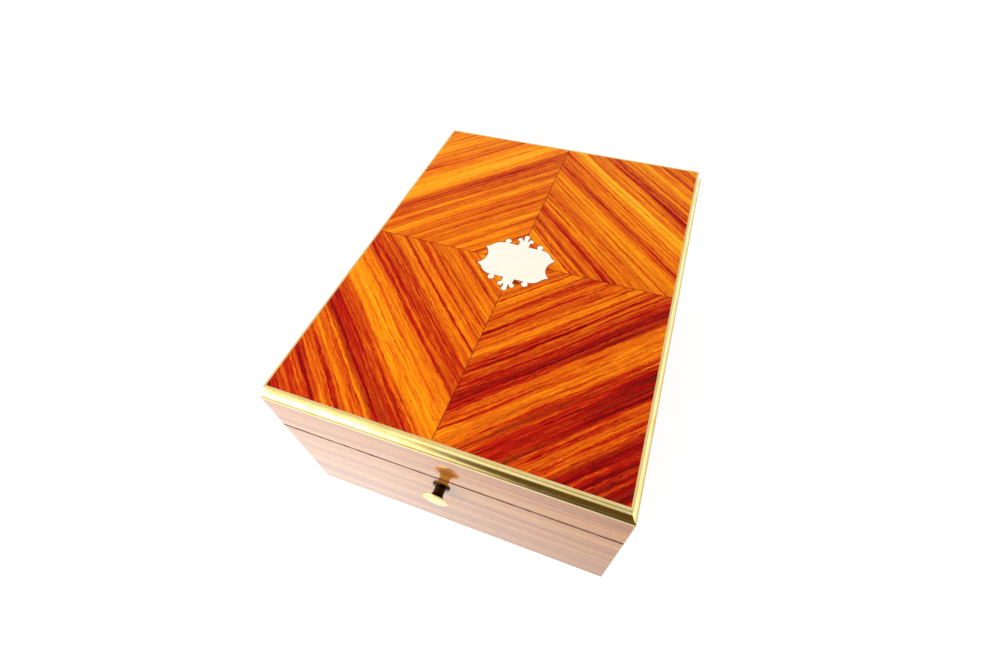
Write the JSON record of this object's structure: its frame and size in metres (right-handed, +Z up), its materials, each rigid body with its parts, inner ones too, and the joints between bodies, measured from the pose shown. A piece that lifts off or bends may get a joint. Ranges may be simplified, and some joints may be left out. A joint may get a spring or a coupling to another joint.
{
  "type": "veneered keepsake box",
  "caption": "Small hinged-lid wooden box in book-matched veneer with coved brass lid edging, an inlaid cartouche, a lined well and a push-button catch at the front.",
  "frame": {"origin": "middle of the underside, on the surface that the box stands on", "axes": "+X to the right along the front, +Y to the hinged back, +Z up; the button faces -Y"},
  "size_m": [0.11, 0.149, 0.067],
  "materials": {
    "top_veneer": "striped tulipwood veneer under a clear gloss polish",
    "side_veneer": "straight-grained tulipwood veneer under a clear gloss polish",
    "carcase_wood": "bare, planed softwood",
    "brass": "polished, lightly aged",
    "bone_inlay": "polished bone",
    "velvet_lining": "short-pile velvet glued on card",
    "steel": "plain drawn steel"
  },
  "bodies": {
    "base": {"base_back_board": "carcase_wood", "base_back_lining": "velvet_lining", "base_back_veneer": "side_veneer", "base_bottom_board": "carcase_wood", "base_floor_lining": "velvet_lining", "base_front_board": "carcase_wood", "base_front_lining": "velvet_lining", "base_front_veneer": "side_veneer", "base_left_board": "carcase_wood", "base_left_lining": "velvet_lining", "base_left_veneer": "side_veneer", "base_right_board": "carcase_wood", "base_right_lining": "velvet_lining", "base_right_veneer": "side_veneer", "button_collar": "brass", "catch_pivot_pin": "steel", "catch_plate": "brass", "catch_spring": "steel", "catch_spring_rivet": "brass", "hinge_left_base_leaf": "brass", "hinge_left_pin": "steel", "hinge_right_base_leaf": "brass", "hinge_right_pin": "steel"},
    "lid": {"hinge_left_lid_leaf": "brass", "hinge_right_lid_leaf": "brass", "lid_back_edging": "brass", "lid_back_lining": "velvet_lining", "lid_back_rail": "carcase_wood", "lid_back_veneer": "side_veneer", "lid_cartouche": "bone_inlay", "lid_front_edging": "brass", "lid_front_lining": "velvet_lining", "lid_front_rail": "carcase_wood", "lid_front_veneer": "side_veneer", "lid_left_edging": "brass", "lid_left_lining": "velvet_lining", "lid_left_rail": "carcase_wood", "lid_left_veneer": "side_veneer", "lid_panel": "carcase_wood", "lid_right_back_edging": "brass", "lid_right_front_edging": "brass", "lid_right_lining": "velvet_lining", "lid_right_rail": "carcase_wood", "lid_right_veneer": "side_veneer", "lid_top_back_left_veneer": "top_veneer", "lid_top_back_right_veneer": "top_veneer", "lid_top_front_left_veneer": "top_veneer", "lid_top_front_right_veneer": "top_veneer", "lid_top_lining": "velvet_lining", "strike_plate": "brass"},
    "button": {"push_button": "brass", "button_clip": "steel"},
    "catch": {"catch_lever": "steel"}
  },
  "joints": [
    {"name": "lid_hinge", "type": "hinge", "parent": "base", "child": "lid", "pos_m": [0, 0.069, 0.045], "axis": [-1, 0, 0], "range_deg": [0, 100]},
    {"name": "button_slide", "type": "slide", "parent": "base", "child": "button", "axis": [0, 1, 0], "range_m": [0, 0.0012], "stiffness_N_per_m": 400, "springref_m": -0.002},
    {"name": "catch_pivot", "type": "hinge", "parent": "base", "child": "catch", "pos_m": [0, -0.06634, 0.027], "axis": [-1, 0, 0], "range_deg": [0, 6], "deforming": ["catch_spring"]}
  ],
  "couplings": [
    {"joint": "catch_pivot", "follows": "button_slide", "rad_per_m": 83.333}
  ]
}
